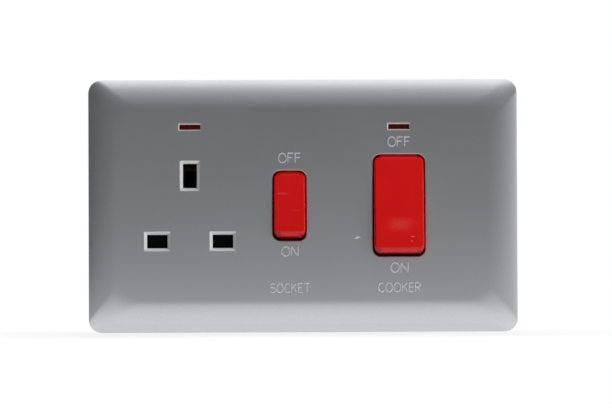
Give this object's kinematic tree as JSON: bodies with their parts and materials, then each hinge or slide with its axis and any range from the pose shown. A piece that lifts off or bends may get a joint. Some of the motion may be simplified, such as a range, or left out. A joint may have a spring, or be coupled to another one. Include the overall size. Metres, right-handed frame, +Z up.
{
  "type": "cooker control unit",
  "caption": "Wall cooker control unit: domed silver cover with a shuttered pin socket, a small and a large red rocker switch and neon windows, clipped over a screwed frame and wiring tray.",
  "frame": {"origin": "centre of the plate in the wall plane, midway between the fixing holes", "axes": "+X to the right seen from the front, +Y into the wall, +Z up; the front faces -Y"},
  "size_m": [0.146, 0.0372, 0.086],
  "materials": {
    "silver_paint": "satin",
    "black_moulding": "satin",
    "white_moulding": "satin",
    "red_moulding": "gloss",
    "natural_nylon": "satin",
    "brass": "satin",
    "plated_steel": "satin",
    "spring_steel": "satin",
    "red_lens": "gloss",
    "lamp_glass": "gloss",
    "resistor_body": "gloss"
  },
  "bodies": {
    "unit": {"front_plate": "silver_paint", "mounting_frame": "black_moulding", "rear_housing": "white_moulding", "housing_screws": "plated_steel", "terminal_screws": "plated_steel", "live_supply_terminal": "brass", "neutral_supply_terminal": "brass", "live_load_terminal": "brass", "neutral_load_terminal": "brass", "earth_terminal": "brass", "live_feed_bar": "brass", "neutral_feed_bar": "brass", "live_load_bar": "brass", "neutral_load_bar": "brass", "live_socket_contact": "brass", "neutral_socket_contact": "brass", "earth_socket_contact": "brass", "shutter_spring": "spring_steel", "socket_neon_lens": "red_lens", "socket_neon_lamp": "lamp_glass", "socket_neon_resistor": "resistor_body", "cooker_neon_lens": "red_lens", "cooker_neon_lamp": "lamp_glass", "cooker_neon_resistor": "resistor_body"},
    "socket_switch": {"socket_rocker": "red_moulding", "socket_plunger": "natural_nylon", "socket_plunger_spring": "spring_steel"},
    "cooker_switch": {"cooker_rocker": "red_moulding", "cooker_live_plunger": "natural_nylon", "cooker_live_plunger_spring": "spring_steel", "cooker_neutral_plunger": "natural_nylon", "cooker_neutral_plunger_spring": "spring_steel"},
    "socket_seesaw": {"socket_moving_contact": "brass"},
    "cooker_live_seesaw": {"cooker_live_moving_contact": "brass"},
    "cooker_neutral_seesaw": {"cooker_neutral_moving_contact": "brass"},
    "shutter": {"shutter": "black_moulding"}
  },
  "joints": [
    {"name": "socket_rocker_tilt", "type": "hinge", "parent": "unit", "child": "socket_switch", "pos_m": [-0.0047, -0.0035, 0], "axis": [1, 0, 0], "range_deg": [0, 14]},
    {"name": "cooker_rocker_tilt", "type": "hinge", "parent": "unit", "child": "cooker_switch", "pos_m": [0.0324, -0.0035, 0], "axis": [1, 0, 0], "range_deg": [0, 12]},
    {"name": "socket_contact_tilt", "type": "hinge", "parent": "unit", "child": "socket_seesaw", "pos_m": [-0.0047, 0.0084, 0], "axis": [1, 0, 0], "range_deg": [-20, 0]},
    {"name": "cooker_live_contact_tilt", "type": "hinge", "parent": "unit", "child": "cooker_live_seesaw", "pos_m": [0.0269, 0.0084, 0], "axis": [1, 0, 0], "range_deg": [-20, 0]},
    {"name": "cooker_neutral_contact_tilt", "type": "hinge", "parent": "unit", "child": "cooker_neutral_seesaw", "pos_m": [0.0379, 0.0084, 0], "axis": [1, 0, 0], "range_deg": [-20, 0]},
    {"name": "shutter_slide", "type": "slide", "parent": "unit", "child": "shutter", "axis": [0, 0, -1], "range_m": [0, 0.0061], "stiffness_N_per_m": 120, "springref_m": -0.006, "deforming": ["shutter_spring"]}
  ],
  "couplings": [
    {"joint": "socket_contact_tilt", "follows": "socket_rocker_tilt", "ratio": -1.4286},
    {"joint": "cooker_live_contact_tilt", "follows": "cooker_rocker_tilt", "ratio": -1.6667},
    {"joint": "cooker_neutral_contact_tilt", "follows": "cooker_rocker_tilt", "ratio": -1.6667}
  ]
}
